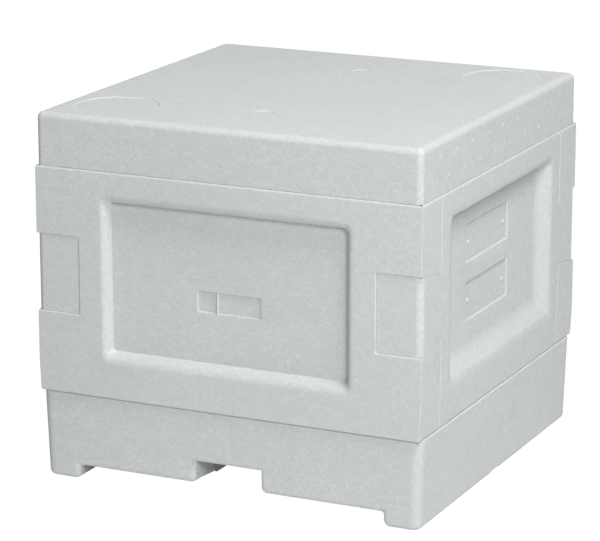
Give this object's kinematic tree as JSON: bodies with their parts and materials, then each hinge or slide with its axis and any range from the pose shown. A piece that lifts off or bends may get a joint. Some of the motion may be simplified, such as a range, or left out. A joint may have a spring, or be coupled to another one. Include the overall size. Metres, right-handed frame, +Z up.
{
  "type": "nuc box",
  "caption": "Square foam nuc box for bees: floor with an entrance tunnel and vent, dovetailed hive body with hanging frames, and a flat lid.",
  "frame": {"origin": "on the ground under the middle of the floor", "axes": "+X to the right along the front, +Y from the entrance side to the rear, +Z up"},
  "size_m": [0.3, 0.3, 0.272],
  "materials": {
    "foam": "matte",
    "wood": "matte",
    "wax": "satin",
    "steel": "satin",
    "plastic": "satin"
  },
  "bodies": {
    "floor": {"floor_tray": "foam", "vent_grille": "steel", "vent_screws": "steel"},
    "entrance_slider": {"entrance_slider": "plastic"},
    "hive_body": {"front_wall": "foam", "rear_wall": "foam", "left_wall": "foam", "right_wall": "foam", "front_rest_rail": "steel", "rear_rest_rail": "steel", "rest_rail_nails": "steel"},
    "lid": {"lid": "foam"},
    "frame_1": {"frame_1_top_bar": "wood", "frame_1_side_bars": "wood", "frame_1_bottom_bar": "wood", "frame_1_foundation": "wax", "frame_1_nails": "steel"},
    "frame_2": {"frame_2_top_bar": "wood", "frame_2_side_bars": "wood", "frame_2_bottom_bar": "wood", "frame_2_foundation": "wax", "frame_2_nails": "steel"},
    "frame_3": {"frame_3_top_bar": "wood", "frame_3_side_bars": "wood", "frame_3_bottom_bar": "wood", "frame_3_foundation": "wax", "frame_3_nails": "steel"},
    "frame_4": {"frame_4_top_bar": "wood", "frame_4_side_bars": "wood", "frame_4_bottom_bar": "wood", "frame_4_foundation": "wax", "frame_4_nails": "steel"},
    "frame_5": {"frame_5_top_bar": "wood", "frame_5_side_bars": "wood", "frame_5_bottom_bar": "wood", "frame_5_foundation": "wax", "frame_5_nails": "steel"},
    "frame_6": {"frame_6_top_bar": "wood", "frame_6_side_bars": "wood", "frame_6_bottom_bar": "wood", "frame_6_foundation": "wax", "frame_6_nails": "steel"}
  },
  "joints": [
    {"name": "body_lift", "type": "slide", "parent": "floor", "child": "hive_body", "axis": [0, 0, 1], "range_m": [0, 0.12]},
    {"name": "entrance_slide", "type": "slide", "parent": "floor", "child": "entrance_slider", "axis": [0, 1, 0], "range_m": [0, 0.0285]},
    {"name": "frame_1_lift", "type": "slide", "parent": "hive_body", "child": "frame_1", "axis": [0, 0, 1], "range_m": [0, 0.18]},
    {"name": "frame_2_lift", "type": "slide", "parent": "hive_body", "child": "frame_2", "axis": [0, 0, 1], "range_m": [0, 0.18]},
    {"name": "frame_3_lift", "type": "slide", "parent": "hive_body", "child": "frame_3", "axis": [0, 0, 1], "range_m": [0, 0.18]},
    {"name": "frame_4_lift", "type": "slide", "parent": "hive_body", "child": "frame_4", "axis": [0, 0, 1], "range_m": [0, 0.18]},
    {"name": "frame_5_lift", "type": "slide", "parent": "hive_body", "child": "frame_5", "axis": [0, 0, 1], "range_m": [0, 0.18]},
    {"name": "frame_6_lift", "type": "slide", "parent": "hive_body", "child": "frame_6", "axis": [0, 0, 1], "range_m": [0, 0.18]},
    {"name": "lid_lift", "type": "slide", "parent": "frame_1", "child": "lid", "axis": [0, 0, 1], "range_m": [0, 0.2]}
  ],
  "couplings": [
    {"joint": "frame_2_lift", "follows": "frame_1_lift", "ratio": 1},
    {"joint": "frame_3_lift", "follows": "frame_1_lift", "ratio": 1},
    {"joint": "frame_4_lift", "follows": "frame_1_lift", "ratio": 1},
    {"joint": "frame_5_lift", "follows": "frame_1_lift", "ratio": 1},
    {"joint": "frame_6_lift", "follows": "frame_1_lift", "ratio": 1}
  ]
}
